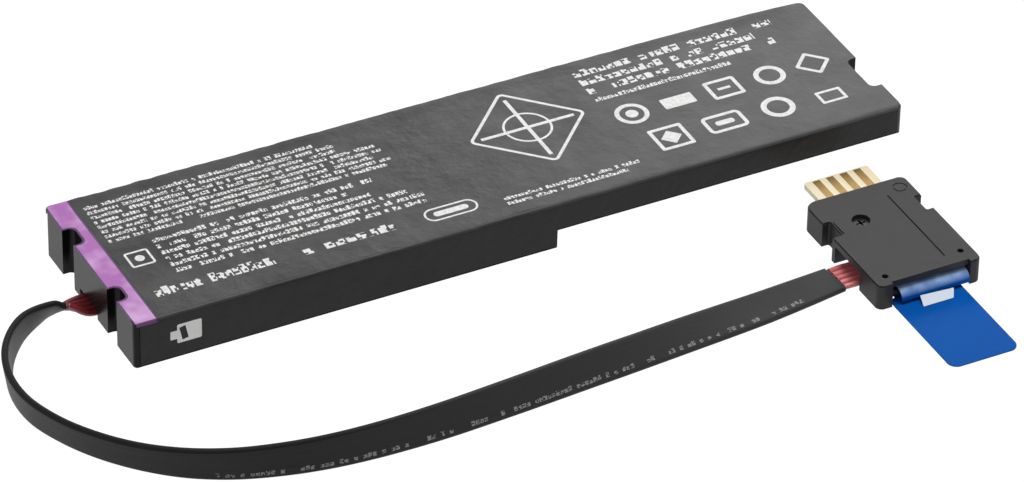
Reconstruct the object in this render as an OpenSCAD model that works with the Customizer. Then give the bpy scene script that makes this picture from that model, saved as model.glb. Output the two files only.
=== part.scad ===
/* [Cells] */
// Length of one flat cell, with its sealed end
cell_l = 50; // [36:1:70]
// Width of one cell
cell_w = 34; // [26:1:50]
// Thickness of one cell
cell_t = 3; // [2:0.1:5]
// Length of the thin sealed end that the tabs leave
seal_l = 3.5; // [2:0.5:5]
// Thickness of the sealed end
seal_t = 0.4; // [0.2:0.1:0.8]
// Rounding of a cell's long edges
cell_r = 0.9; // [0.3:0.1:0.95]
// Clearance beside a cell
cell_gap = 0.8; // [0.3:0.05:1.5]
// Room above a cell for it to swell
swell_gap = 0.15; // [0.1:0.05:0.8]
// Thickness of the foam pads under the cells
pad_t = 0.3; // [0.2:0.1:1]
// Width of a foam pad, along the case
pad_w = 8; // [4:1:12]
// Width of a nickel tab
tab_w = 4; // [2:0.5:6]
// Thickness of a nickel tab
tab_t = 0.15; // [0.1:0.05:0.4]
// Spacing of a cell's two tabs
tab_pitch = 18; // [10:1:20]

/* [Case] */
// Thickness of the side walls
wall = 1.2; // [0.9:0.1:2]
// Thickness of the floor
floor_t = 1; // [0.8:0.1:2]
// Thickness of the cover
cover_t = 1; // [0.8:0.1:2]
// Thickness of the solid ends
end_wall = 3.4; // [3:0.1:6]
// Bay between the left end and the left cell
lead_bay = 20.6; // [18:0.1:30]
// Bay between the left cell and the step, where the right cell's tabs come down
tab_bay = 7.3; // [6:0.1:12]
// Gap between the step and the right cell
step_gap = 2.5; // [1:0.1:6]
// Empty bay past the right cell
spare_bay = 14.7; // [10:0.1:24]
// Rounding of the case's upright corners
corner_r = 1; // [0.4:0.1:1.6]
// Rounding of the top long edges
edge_r = 0.5; // [0.3:0.1:0.9]
// Width of the ledges that carry the left cell
ledge_w = 1.6; // [1:0.1:3]
// Width of the cover's tongue
tongue_w = 0.5; // [0.3:0.05:0.7]
// Depth of the cover's tongue
tongue_h = 0.7; // [0.4:0.1:1.5]
// Clearance round the tongue
tongue_gap = 0.05; // [0.05:0.01:0.1]
// Thickness of the ribs inside
rib_t = 0.8; // [0.6:0.1:1.4]
// Depth of the cover's ribs
cover_rib_h = 1.8; // [1:0.1:2.4]
// Height of the tray's ribs that stop the cells
stop_rib_h = 2; // [1:0.1:2.5]
// Gap between a stop rib and a cell
stop_gap = 0.3; // [0.2:0.05:0.8]

/* [End notches] */
// Depth of the notches in both ends
notch_d = 2.2; // [1:0.1:2.4]
// Width of the notch near the back left corner
back_notch_w = 5; // [3:0.1:6]
// Its distance behind the centre line
back_notch_y = 9.4; // [7:0.1:10]
// Width of the notch near the front left corner
front_notch_w = 4; // [3:0.1:6]
// Its distance in front of the centre line
front_notch_y = 9.5; // [7:0.1:10]
// Width of the notch in the right end
right_notch_w = 9.6; // [6:0.1:11]
// Its distance in front of the centre line
right_notch_y = 6.5; // [4:0.1:7]
// Rounding inside the notches
notch_r = 1.2; // [0.4:0.1:1.4]

/* [Films] */
// Thickness of the label film and the end strip
film_t = 0.15; // [0.1:0.05:0.3]
// Width of the coloured strip on the left end
strip_l = 4.6; // [3:0.1:8]
// How far the strip turns down over the long edges
strip_drop = 0.8; // [0.5:0.1:2]
// Gap between the strip and the label
film_gap = 0.1; // [0.05:0.05:0.3]
// How far the label stops above the underside
label_rise = 0.4; // [0.2:0.1:1]

/* [Control board] */
// Thickness of the board
board_t = 1; // [0.8:0.1:1.6]
// Clearance round the board
board_gap = 0.3; // [0.2:0.05:0.8]
// Height of the posts that carry the board
post_h = 1.4; // [1.2:0.1:2.5]
// Diameter of those posts
post_d = 3; // [2.4:0.1:4]
// Diameter of the pegs on the posts
peg_d = 1.4; // [1:0.1:1.8]
// Clearance round a peg
peg_gap = 0.1; // [0.05:0.05:0.2]
// Distance of the posts from the board's edges
post_in = 2.5; // [2.2:0.1:4]
// Room for parts on the board
parts_room = 1.35; // [1.3:0.05:3]
// Height of the large chips
chip_h = 1; // [0.5:0.1:1.1]
// Length of the largest chip
chip_l = 8; // [6:0.5:9]
// Width of the largest chip
chip_w = 6; // [5:0.5:7]
// Length of a capacitor
capacitor_l = 3.2; // [2:0.2:3.4]
// Side of the power inductor
coil_w = 7; // [5:0.5:9]
// Height of the power inductor
coil_h = 1.2; // [0.8:0.1:1.2]
// Thickness of the foam spacer at the right end
foam_l = 4.5; // [3:0.1:4.6]
// Thickness of the insulating sheet over the board
sheet_t = 0.2; // [0.1:0.05:0.5]

/* [Cable] */
// Width of the flat sheath
sheath_w = 6.6; // [6.2:0.1:8]
// Thickness of the flat sheath
sheath_t = 1.3; // [1.2:0.1:2]
// Number of wires
wire_n = 5; // [3:1:5]
// Diameter of a wire
wire_d = 1.1; // [0.8:0.05:1.1]
// Spacing of the wires
wire_pitch = 1.35; // [1.2:0.05:1.4]
// Clearance of the wire slots, each way
slot_gap = 0.5; // [0.3:0.05:0.8]
// Height of the wire slot in the case
slot_h = 1.9; // [1.6:0.1:2.2]
// Distance of that slot behind the centre line
slot_y = 0.7; // [0:0.1:1]

/* [Connector] */
// Width of the housing
conn_w = 20.9; // [20:0.1:26]
// Length of the housing
conn_l = 28.2; // [26:0.1:34]
// Height of the lower shell
base_h = 2.4; // [2.3:0.1:2.9]
// Height of the upper shell
lid_h = 2.6; // [2.4:0.1:3.5]
// Thickness of the housing's floor
conn_floor = 0.8; // [0.6:0.1:0.9]
// Thickness of the housing's top plate
conn_top = 1; // [0.8:0.1:1.1]
// Thickness of the housing's walls
conn_wall = 1.2; // [0.9:0.1:1.6]
// Rounding of the housing's upright corners
conn_r = 1.3; // [0.5:0.1:1.5]
// Rounding of the back left lug's corner
lug_r = 2; // [0.5:0.1:2.2]
// Distance that the back left lug stands in
lug_in = 0.4; // [0.1:0.1:0.6]
// Chamfer of the housing's top edge
conn_bevel = 0.3; // [0.1:0.05:0.5]
// Depth of the left notch
left_cut_d = 1.9; // [1:0.1:2.2]
// Depth of the right notch
right_cut_d = 1.4; // [0.8:0.1:2]
// Width of both notches
cut_w = 4.4; // [3:0.1:6]
// Distance of both notches behind the middle
cut_v = 5; // [4:0.1:6]
// Thickness of the contact board
card_t = 1; // [0.8:0.05:1.1]
// Width of the contact board
card_w = 13.1; // [12:0.1:14]
// How far the contact board stands out
card_out = 8; // [5:0.1:12]
// How far the contact board reaches in
card_in = 20; // [18:0.5:22]
// Sideways place of the contact board
card_u = 1; // [0:0.1:1]
// Number of contact fingers on each face
finger_n = 4; // [2:1:4]
// Spacing of the fingers
finger_pitch = 2.8; // [2.4:0.1:3]
// Bare margin in front of the fingers
finger_in = 0.35; // [0.2:0.05:1]
// Width of a finger
finger_w = 1.45; // [1:0.05:2]
// Length of a finger
finger_l = 6.6; // [4:0.1:8]
// Thickness of a finger
finger_t = 0.06; // [0.04:0.01:0.1]
// Clearance round the contact board
card_gap = 0.05; // [0.03:0.01:0.1]
// Diameter of the screw's head
head_d = 3.2; // [2.6:0.1:3.6]
// Height of the screw's head
head_h = 0.9; // [0.6:0.1:1.2]
// Diameter of the screw's shank
shank_d = 1.6; // [1.2:0.1:2]
// Clearance round the screw
screw_gap = 0.1; // [0.05:0.05:0.2]
// Height of the mouth where the wires go in
mouth_h = 3.6; // [3:0.1:3.7]
// Width of the bay in the front of the housing
bay_w = 15.8; // [14.5:0.1:16]
// Sideways place of that bay
bay_u = 0.25; // [0:0.05:0.4]
// Depth of the bay under the top plate
bay_d = 3.9; // [3.6:0.1:4.5]
// How far the top plate stops short over the bay
bay_lip = 0.8; // [0.4:0.1:1.5]
// Diameter of the bar that holds the pull tab
bar_d = 1.5; // [1:0.1:1.6]

/* [Pull tab] */
// Width of the film
pull_w = 13.8; // [10:0.1:13.9]
// How far the rolled end lies to the right of the free end
pull_skew = 1.1; // [0:0.1:1.1]
// How far the film reaches past the housing
pull_out = 20.4; // [10:0.5:40]
// Thickness of the film
pull_t = 0.25; // [0.15:0.05:0.3]
// Rounding of the film's free corners
pull_r = 1.8; // [0.5:0.1:4]
// Width of the tape that keeps the film rolled
tape_w = 6.1; // [3:0.1:8]
// Length of that tape
tape_l = 2.3; // [1.5:0.1:4]
// Thickness of that tape
tape_t = 0.15; // [0.1:0.05:0.3]
// Slope of that tape, in degrees
tape_tilt = 22; // [15:1:30]

/* [Hidden] */
$fn = 48;
eps = 0.01;
far = 200;

// Case, worked out from the cells and what lies round them
inner_w = cell_w + 2 * cell_gap;
case_w = inner_w + 2 * wall;
thick_l = end_wall + lead_bay + cell_l + tab_bay + wall;
thin_l = step_gap + cell_l + spare_bay + end_wall;
case_l = thick_l + thin_l;
ledge_z = floor_t + post_h + board_t + parts_room;
step_z = ledge_z - floor_t;
cell_z = ledge_z + sheet_t + pad_t;
split_z = cell_z + cell_t + swell_gap;
case_h = split_z + cover_t;
left_x = -case_l / 2;
right_x = case_l / 2;
step_x = left_x + thick_l;
board_z = floor_t + post_h;
board_top = board_z + board_t;
lower_w = inner_w - 2 * ledge_w;
bay_l = thick_l - end_wall - wall;
board_l = bay_l - 2 * board_gap;
board_w = lower_w - 2 * board_gap;
board_x = left_x + end_wall + board_gap;
left_cell_x = left_x + end_wall + lead_bay;
right_cell_x = step_x + step_gap;
slot_w = (wire_n - 1) * wire_pitch + wire_d + 2 * slot_gap;
slot_in = end_wall + 3;

// Connector, in its own frame with its centre at the origin
conn_x = 58.7;
conn_y = -46.6;
conn_h = base_h + lid_h;
card_z = base_h - card_t / 2 + 0.1;
card_back = conn_l / 2 + card_out;
card_len = card_out + card_in;
cavity_left = -conn_w / 2 + left_cut_d + conn_wall;
cavity_right = conn_w / 2 - right_cut_d - conn_wall;
cavity_back = conn_l / 2 - conn_wall;
cavity_front = -conn_l / 2 + bay_d + conn_wall;
screw_at = [-3.25, 5.3];
wires_v = -3.4;
bar_v = -conn_l / 2 + bay_d / 2 + 0.15;
bar_z = 1.45;
head_z = conn_h - 0.7 - head_h;
boss_d = shank_d + 2;
tie_at = [[8.05, -10.5], [-7.85, -11.4]];

// Cable: place and lean of the sheath, where 0 stands on edge and -90 lies flat
sheath_route = [
    [-82.4, 0, -50], [-85, -0.5, -33], [-91.4, -3.8, -6], [-96.5, -9.9, 5],
    [-99.2, -17.4, 9], [-99.3, -25.3, 11], [-96.8, -32.9, 13], [-92.8, -39.8, 12],
    [-87.6, -45.9, 10], [-81.4, -50.9, 5], [-74.3, -54.6, 0], [-66.7, -57, -5],
    [-58.9, -58.5, -10], [-50.8, -59.2, -15], [-42.8, -59.3, -20], [-34.8, -59, -25],
    [-26.8, -58.4, -29], [-18.9, -57.7, -34], [-10.9, -56.9, -39], [-3, -56.1, -45],
    [5, -55.3, -51], [12.9, -54.5, -56], [20.9, -53.7, -62], [28.8, -52.8, -69],
    [36.7, -51.6, -77], [45.2, -50.2, -86]
];
// Cores at the case: place, lean and spacing, from the board out to the sheath
module_cores = [
    [-67, 0.7, 1.8, -90, 1.3], [-69.5, 0.7, 1.7, -90, 1.3], [-73, 0.7, 0.95, -90, 1.3],
    [-77, 0.7, 0.8, -90, 1.3], [-79.6, 0.5, 1.3, -76, 1.25], [-81.75, 0.05, 2.2, -54, 1.15]
];
// Cores at the connector, from the sheath in to the contact board
connector_cores = [
    [45.6, -50.2, 0.9, -86, 1.2], [48.2, -50, 0.8, -90, 1.35], [50, -50, 0.8, -90, 1.35],
    [52.2, -50, 1.35, -90, 1.35], [55, -50, 1.42, -90, 1.35]
];

// ---- Shared shapes ----

module rounded_plate(l, w, r) {
    square([l, w - 2 * r], center = true);
    square([l - 2 * r, w], center = true);
    for (x = [-1, 1], y = [-1, 1])
        translate([x * (l / 2 - r), y * (w / 2 - r)])
            circle(r);
}

// A slot that enters along +X from x = 0 and ends in rounded corners
module blind_slot(depth, width, r) {
    translate([-1, -width / 2])
        square([depth - r + 1, width]);
    translate([0, -width / 2 + r])
        square([depth, width - 2 * r]);
    for (y = [-1, 1])
        translate([depth - r, y * (width / 2 - r)])
            circle(r);
}

function flat(lists) = [for (part = lists) for (item = part) item];

// A point on the smooth curve through p1 and p2, with p0 and p3 as neighbours
function blend(p0, p1, p2, p3, t) =
    (2 * p1 + (p2 - p0) * t + (2 * p0 - 5 * p1 + 4 * p2 - p3) * t * t
        + (3 * p1 - p0 - 3 * p2 + p3) * t * t * t) / 2;

function smooth(p, steps) = concat(
    [for (i = [0:len(p) - 2], k = [0:steps - 1])
        blend(p[max(i - 1, 0)], p[i], p[i + 1], p[min(i + 2, len(p) - 1)], k / steps)],
    [p[len(p) - 1]]
);

function unit(v) = v / norm(v);

function direction(p, i) = unit(p[min(i + 1, len(p) - 1)] - p[max(i - 1, 0)]);

// The way across a flat cable that heads along d with the given lean
function across(d, lean) = unit([sin(lean) * d[1], -sin(lean) * d[0], cos(lean)]);

function ring(at, a, b, shape) = [for (q = shape) at + q[0] * a + q[1] * b];

function round_shape(d, n) = [for (i = [0:n - 1]) [d / 2 * cos(360 * i / n), d / 2 * sin(360 * i / n)]];

function flat_shape(w, t) = [
    for (side = [0, 1], k = [0:5])
        let (turn = side * 180 - 90 + 36 * k)
            [(side == 0 ? 1 : -1) * (w - t) / 2 + t / 2 * cos(turn), t / 2 * sin(turn)]
];

// One closed tube through rings that all have the same number of points
module tube(rings) {
    n = len(rings[0]);
    last = len(rings) - 1;
    sides = flat([for (i = [0:last - 1], j = [0:n - 1])
        let (a = i * n + j, b = i * n + (j + 1) % n)
            [[a, b, a + n], [b, b + n, a + n]]]);
    polyhedron(
        flat(rings),
        concat([[for (j = [n - 1:-1:0]) j]], [[for (j = [0:n - 1]) last * n + j]], sides)
    );
}

// ---- Case ----

module case_plan() {
    difference() {
        rounded_plate(case_l, case_w + 2 * film_t, corner_r);
        translate([left_x, back_notch_y])
            blind_slot(notch_d, back_notch_w, notch_r);
        translate([left_x, -front_notch_y])
            blind_slot(notch_d, front_notch_w, notch_r);
        translate([right_x, -right_notch_y])
            mirror([1, 0])
                blind_slot(notch_d, right_notch_w, notch_r);
    }
}

// Cross-section of the closed case, larger by grow at the sides and the top
module case_section(grow) {
    w = case_w + 2 * grow;
    h = case_h + grow;
    r = edge_r + grow;
    translate([-w / 2, 0])
        square([w, h - r]);
    translate([-w / 2 + r, 0])
        square([w - 2 * r, h]);
    for (y = [-1, 1])
        translate([y * (w / 2 - r), h - r])
            circle(r);
}

// The closed case as one lump, with its step and notches
module case_lump(grow) {
    difference() {
        intersection() {
            rotate([90, 0, 90])
                translate([0, 0, left_x])
                    linear_extrude(case_l)
                        case_section(grow);
            linear_extrude(case_h + grow)
                case_plan();
        }
        translate([step_x, -case_w, -1])
            cube([thin_l + 1, 2 * case_w, step_z + 1]);
    }
}

// The opening at the top of the tray, larger by grow all round
module pocket_plan(grow) {
    translate([0, 0])
        rounded_plate(case_l - 2 * end_wall + 2 * grow, inner_w + 2 * grow, corner_r);
}

module board_posts(d, h) {
    for (x = [board_x + post_in, board_x + board_l - post_in], y = [-1, 1])
        translate([x, y * (board_w / 2 - post_in), 0])
            cylinder(d = d, h = h);
}

module case_tray() {
    color([0.16, 0.16, 0.16])
        union() {
            difference() {
                intersection() {
                    case_lump(0);
                    translate([-case_l, -case_w, -1])
                        cube([2 * case_l, 2 * case_w, split_z + 1]);
                }
                translate([0, 0, ledge_z])
                    linear_extrude(far)
                        pocket_plan(0);
                translate([0, 0, split_z - tongue_h - tongue_gap])
                    linear_extrude(far)
                        pocket_plan(tongue_w + tongue_gap);
                translate([left_x + end_wall, -lower_w / 2, floor_t])
                    cube([bay_l, lower_w, far]);
                translate([left_x - 1, slot_y - slot_w / 2, -1])
                    cube([slot_in + 1, slot_w, slot_h + 1]);
            }
            translate([0, 0, floor_t - eps])
                board_posts(post_d, post_h + eps);
            translate([0, 0, floor_t - eps])
                board_posts(peg_d, post_h + board_t + 0.4);
            cell_stops();
        }
}

// Short ribs beside the tabs that keep the cells in place
module cell_stops() {
    rib_w = (inner_w - tab_pitch - tab_w) / 2 - 2;
    for (y = [-1, 1])
        translate([left_cell_x - stop_gap - rib_t, y * (inner_w - rib_w) / 2 - rib_w / 2, ledge_z - eps])
            stop_rib(rib_w, y);
    translate([right_cell_x + cell_l + stop_gap, -inner_w / 2 - eps, ledge_z - eps])
        cube([rib_t, inner_w + 2 * eps, stop_rib_h + eps]);
}

// A stop rib that grows out of the wall on side y
module stop_rib(w, y) {
    translate([0, y * eps, 0])
        cube([rib_t, w, stop_rib_h + eps]);
}

module case_cover() {
    color([0.2, 0.2, 0.2])
        union() {
            intersection() {
                case_lump(0);
                translate([-case_l, -case_w, split_z])
                    cube([2 * case_l, 2 * case_w, far]);
            }
            translate([0, 0, split_z - tongue_h])
                linear_extrude(tongue_h + eps)
                    difference() {
                        pocket_plan(tongue_w);
                        pocket_plan(0);
                    }
            for (x = [left_x + end_wall + lead_bay * 0.3, left_x + end_wall + lead_bay * 0.62])
                cover_rib(x);
            for (k = [1, 2])
                cover_rib(right_x - end_wall - spare_bay * k / 4);
        }
}

module cover_rib(x) {
    translate([x - rib_t / 2, -inner_w / 2, split_z - cover_rib_h])
        cube([rib_t, inner_w, cover_rib_h + eps]);
}

// The film round the case's top and long sides, before it is shared out
module film_shell() {
    difference() {
        case_lump(film_t);
        case_lump(0);
        translate([left_x - 1, -case_w, -1])
            cube([thick_l + 1, 2 * case_w, label_rise + 1]);
        translate([step_x - 1, -case_w, -1])
            cube([thin_l + 2, 2 * case_w, step_z + label_rise + 1]);
        for (x = [left_x, right_x])
            translate([x - corner_r, -case_w, -1])
                cube([2 * corner_r, 2 * case_w, case_h - strip_drop + 1]);
    }
}

module label_wrap() {
    color([0.27, 0.27, 0.28])
        difference() {
            film_shell();
            translate([left_x - 1, -case_w, case_h - strip_drop - film_gap])
                cube([strip_l + film_gap + 1, 2 * case_w, far]);
        }
}

module end_strip() {
    color([0.72, 0.45, 0.76])
        intersection() {
            film_shell();
            translate([left_x - 1, -case_w, case_h - strip_drop])
                cube([strip_l + 1, 2 * case_w, far]);
        }
}

// ---- Cells ----

// One pouch cell with its sealed end at x = 0
module pouch_cell(z) {
    body_l = cell_l - seal_l;
    translate([seal_l, 0, z])
        rotate([90, 0, 90])
            linear_extrude(body_l)
                translate([0, cell_t / 2])
                    rounded_plate(cell_w, cell_t, cell_r);
    translate([0, -cell_w / 2 + 1, z + cell_t / 2 - seal_t / 2])
        cube([seal_l + 1, cell_w - 2, seal_t]);
}

module cell_left() {
    color([0.75, 0.76, 0.78])
        translate([left_cell_x, 0, 0])
            pouch_cell(cell_z);
}

module cell_right() {
    color([0.72, 0.73, 0.76])
        translate([right_cell_x, 0, 0])
            pouch_cell(ledge_z + pad_t);
}

module cell_pads() {
    color([0.25, 0.25, 0.27]) {
        for (x = [left_cell_x + seal_l + pad_w, left_cell_x + cell_l - pad_w])
            translate([x - pad_w / 2, -cell_w / 2 + 2, ledge_z + sheet_t])
                cube([pad_w, cell_w - 4, pad_t]);
        for (x = [right_cell_x + seal_l + pad_w, right_cell_x + cell_l - pad_w])
            translate([x - pad_w / 2, -cell_w / 2 + 2, ledge_z])
                cube([pad_w, cell_w - 4, pad_t]);
    }
}

// A nickel strip that leaves a sealed end at height z, runs out and turns down to the board
module nickel_tab(x, y, z, run) {
    translate([x - run, y - tab_w / 2, z - tab_t / 2])
        cube([run, tab_w, tab_t]);
    translate([x - run, y - tab_w / 2, board_top])
        cube([tab_t, tab_w, z + tab_t / 2 - board_top]);
    translate([x - run - 1.6, y - tab_w / 2, board_top])
        cube([1.6 + tab_t, tab_w, tab_t]);
}

module cell_tabs() {
    color([0.8, 0.79, 0.74])
        for (y = [-1, 1]) {
            nickel_tab(left_cell_x, y * tab_pitch / 2, cell_z + cell_t / 2, 2.6);
            nickel_tab(
                right_cell_x, y * tab_pitch / 2, ledge_z + pad_t + cell_t / 2,
                step_gap + wall + 1.2
            );
        }
}

module seal_tape() {
    color([0.85, 0.6, 0.15]) {
        translate([left_cell_x + 0.4, -cell_w / 2 + 2, cell_z + cell_t / 2 + seal_t / 2])
            cube([seal_l - 0.8, cell_w - 4, 0.1]);
        translate([right_cell_x + 0.4, -cell_w / 2 + 2, ledge_z + pad_t + cell_t / 2 + seal_t / 2])
            cube([seal_l - 0.8, cell_w - 4, 0.1]);
    }
}

module insulating_sheet() {
    color([0.85, 0.85, 0.8])
        translate([left_cell_x, -inner_w / 2 + 0.3, ledge_z])
            cube([cell_l, inner_w - 0.6, sheet_t]);
}

// ---- Control board ----

module control_board() {
    color([0.1, 0.35, 0.18])
        difference() {
            translate([board_x, -board_w / 2, board_z])
                cube([board_l, board_w, board_t]);
            translate([0, 0, board_z - 1])
                board_posts(peg_d + 2 * peg_gap, board_t + 2);
        }
}

// A chip body with legs along its two long sides
module legged_chip(l, w, h, legs) {
    translate([-l / 2, -w / 2, 0.1])
        cube([l, w, h - 0.1]);
    for (i = [0:legs - 1], y = [-1, 1])
        translate([-l / 2 + l * (i + 0.5) / legs - 0.15, y * (w / 2 + 0.25) - 0.35, 0])
            cube([0.3, 0.7, 0.3]);
}

module board_chips() {
    color([0.13, 0.13, 0.14])
        translate([board_x, 0, board_top]) {
            translate([board_l * 0.16, board_w * 0.25, 0])
                legged_chip(chip_l * 0.75, chip_w * 0.8, chip_h, 8);
            translate([board_l * 0.37, -board_w * 0.1, 0])
                legged_chip(chip_l, chip_w, chip_h, 10);
            translate([board_l * 0.55, board_w * 0.22, 0])
                legged_chip(chip_l * 0.6, chip_w * 0.7, chip_h, 4);
            translate([board_l * 0.72, -board_w * 0.2, 0])
                legged_chip(chip_l * 0.6, chip_w * 0.7, chip_h, 4);
        }
}

module power_inductor() {
    color([0.3, 0.3, 0.32])
        translate([board_x + board_l * 0.16, -board_w * 0.2, board_top])
            difference() {
                translate([-coil_w / 2, -coil_w / 2, 0])
                    cube([coil_w, coil_w, coil_h]);
                translate([0, 0, coil_h - 0.2])
                    difference() {
                        cylinder(d = coil_w * 0.8, h = 1);
                        translate([0, 0, -1])
                            cylinder(d = coil_w * 0.55, h = 3);
                    }
            }
}

module board_capacitors() {
    color([0.62, 0.5, 0.34])
        translate([board_x, 0, board_top])
            for (i = [0:4])
                translate([board_l * (0.27 + 0.11 * i), board_w / 2 - 2.5 - capacitor_l / 2, 0])
                    cube([capacitor_l, capacitor_l / 2, capacitor_l * 0.3]);
}

module cell_fuse() {
    color([0.85, 0.85, 0.82])
        translate([board_x + board_l - 10, board_w * 0.1, board_top])
            union() {
                translate([0, -1.5, 0.1])
                    cube([7, 3, 0.9]);
                for (x = [-1.2, 6.8])
                    translate([x, -1, 0])
                        cube([1.4, 2, 0.2]);
            }
}

module thermistor() {
    color([0.2, 0.2, 0.2])
        translate([board_x + board_l - 6, -board_w * 0.26, board_top])
            union() {
                translate([0, 0, 0.6])
                    sphere(d = 1.2);
                translate([0, -0.3, 0])
                    cube([3, 0.6, 0.25]);
            }
}

module foam_spacer() {
    color([0.3, 0.3, 0.3])
        translate([right_x - end_wall - foam_l - 0.5, -inner_w / 2 + 1, ledge_z])
            cube([foam_l, inner_w - 2, cell_t - 1.4]);
}

// ---- Cable ----

// Height of the sheath's middle, so that its lower edge lies on the ground
function sheath_z(lean) = sheath_t / 2 + (sheath_w - sheath_t) / 2 * abs(cos(lean));

module cable_sheath() {
    path = smooth(sheath_route, 2);
    centre = [for (p = path) [p[0], p[1], sheath_z(p[2])]];
    shape = flat_shape(sheath_w, sheath_t);
    color([0.14, 0.14, 0.15])
        tube([for (i = [0:len(path) - 1])
            let (d = direction(centre, i), a = across(d, path[i][2]))
                ring(centre[i], a, cross(d, a), shape)]);
}

// Round wires that keep their places across a flat row
module cores(stations) {
    path = smooth(stations, 3);
    row = [for (p = path) [p[0], p[1], p[2]]];
    for (k = [0:wire_n - 1]) {
        centre = [for (i = [0:len(path) - 1])
            row[i] + (k - (wire_n - 1) / 2) * path[i][4] * across(direction(row, i), path[i][3])];
        shape = round_shape(wire_d, 8);
        tube([for (i = [0:len(path) - 1])
            let (d = direction(centre, i), a = unit(cross(d, [0, 0, 1])))
                ring(centre[i], a, cross(d, a), shape)]);
    }
}

module module_wires() {
    color([0.7, 0.15, 0.2])
        cores(module_cores);
}

module connector_wires() {
    color([0.72, 0.16, 0.2])
        cores(connector_cores);
}

// ---- Connector ----

module at_connector() {
    translate([conn_x, conn_y, 0])
        children();
}

module housing_plan(inset) {
    difference() {
        rounded_plate(conn_w - 2 * inset, conn_l - 2 * inset, conn_r);
        // The back left lug stands in a little, and its corner is rounder
        difference() {
            translate([-conn_w / 2 - 1, cut_v])
                square([1 + inset + lug_in + lug_r, conn_l / 2 - cut_v + 1]);
            translate([-conn_w / 2 + inset + lug_in, 0])
                square([lug_r + 1, conn_l / 2 - inset - lug_r]);
            translate([-conn_w / 2 + inset + lug_in + lug_r, conn_l / 2 - inset - lug_r])
                circle(lug_r);
        }
        translate([-conn_w / 2 + inset, cut_v])
            blind_slot(left_cut_d, cut_w + 2 * inset, 0.4);
        translate([conn_w / 2 - inset, cut_v + 0.3])
            mirror([1, 0])
                blind_slot(right_cut_d, cut_w + 2 * inset, 0.4);
    }
}

// The space inside the housing, between heights z0 and z1
module housing_cavity(z0, z1) {
    translate([cavity_left, cavity_front, z0])
        cube([cavity_right - cavity_left, cavity_back - cavity_front, z1 - z0]);
}

// The contact board and its fingers with their clearance
module card_space() {
    gap = card_gap + finger_t;
    translate([card_u - card_w / 2 - card_gap, conn_l / 2 - card_in, card_z - gap])
        cube([card_w + 2 * card_gap, card_len, card_t + 2 * gap]);
}

// The way in for the wires at the left, up to height h
module wire_way(h) {
    translate([-conn_w / 2 - 1, wires_v - slot_w / 2, -1])
        cube([cavity_left + conn_w / 2 + 2.4, slot_w + 1.4, h + 1]);
}

// The bay in the housing's front that the pull tab's bar crosses
module front_bay() {
    translate([bay_u - bay_w / 2, -conn_l / 2 - 1, -1])
        cube([bay_w, bay_d + 1, conn_h - conn_top - 0.2 + 1]);
}

module connector_base() {
    color([0.12, 0.12, 0.13])
        at_connector()
            union() {
                difference() {
                    linear_extrude(base_h)
                        housing_plan(0);
                    housing_cavity(conn_floor, base_h + 1);
                    card_space();
                    front_bay();
                    wire_way(base_h + 1);
                }
                translate([bay_u - bay_w / 2 - 0.5, bar_v, bar_z])
                    rotate([0, 90, 0])
                        cylinder(d = bar_d, h = bay_w + 1);
                difference() {
                    translate([screw_at[0], screw_at[1], conn_floor - eps])
                        cylinder(d = boss_d, h = card_z - card_gap - finger_t - conn_floor + eps);
                    translate([screw_at[0], screw_at[1], conn_floor])
                        cylinder(d = shank_d + 2 * screw_gap, h = base_h);
                }
            }
}

module connector_cover() {
    color([0.29, 0.29, 0.3])
        at_connector()
            difference() {
                union() {
                    difference() {
                        housing_top();
                        housing_cavity(base_h - 1, conn_h - conn_top);
                    }
                    translate([screw_at[0], screw_at[1], card_z + card_t + card_gap + finger_t])
                        cylinder(d = head_d + 1.6, h = conn_h - conn_top - card_z - card_t - card_gap - finger_t + eps);
                }
                card_space();
                front_bay();
                translate([bay_u - bay_w / 2, -conn_l / 2 - 1, 0])
                    cube([bay_w, bay_lip + 1, far]);
                wire_way(mouth_h);
                translate([screw_at[0], screw_at[1], head_z])
                    cylinder(d = head_d + 2 * screw_gap, h = far);
                translate([screw_at[0], screw_at[1], 0])
                    cylinder(d = shank_d + 2 * screw_gap, h = far);
                translate([4.6, -10.6, conn_h - 0.25])
                    cube([0.3, 20.4, 1]);
                translate([8.05, 11.1, conn_h - 0.15])
                    difference() {
                        cylinder(d = 2.7, h = 1);
                        translate([0, 0, -1])
                            cylinder(d = 2.2, h = 3);
                    }
                for (p = tie_at)
                    translate([p[0], p[1], conn_h - 1.8])
                        cylinder(d = 1.2, h = 3);
                translate([-conn_w / 2 + 2.2, cut_v - cut_w / 2, conn_h - 0.5])
                    cube([0.25, cut_w - 0.4, 1]);
            }
}

// The upper shell's outside, with a chamfer round its top edge
module housing_top() {
    translate([0, 0, base_h])
        linear_extrude(lid_h - conn_bevel)
            housing_plan(0);
    translate([0, 0, conn_h - conn_bevel - eps])
        linear_extrude(conn_bevel + eps)
            housing_plan(conn_bevel / 2);
}

module connector_board() {
    color([0.93, 0.87, 0.68])
        at_connector()
            difference() {
                translate([card_u, card_back - card_len / 2, card_z])
                    linear_extrude(card_t)
                        rounded_plate(card_w, card_len, 0.5);
                translate([screw_at[0], screw_at[1], 0])
                    cylinder(d = shank_d + 4 * screw_gap, h = far);
            }
}

module contact_fingers() {
    color([0.78, 0.62, 0.36])
        at_connector()
            for (i = [0:finger_n - 1], z = [card_z - finger_t, card_z + card_t])
                translate([
                    card_u + (i - (finger_n - 1) / 2) * finger_pitch - finger_w / 2,
                    card_back - finger_in - finger_l,
                    z
                ])
                    cube([finger_w, finger_l, finger_t]);
}

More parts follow.
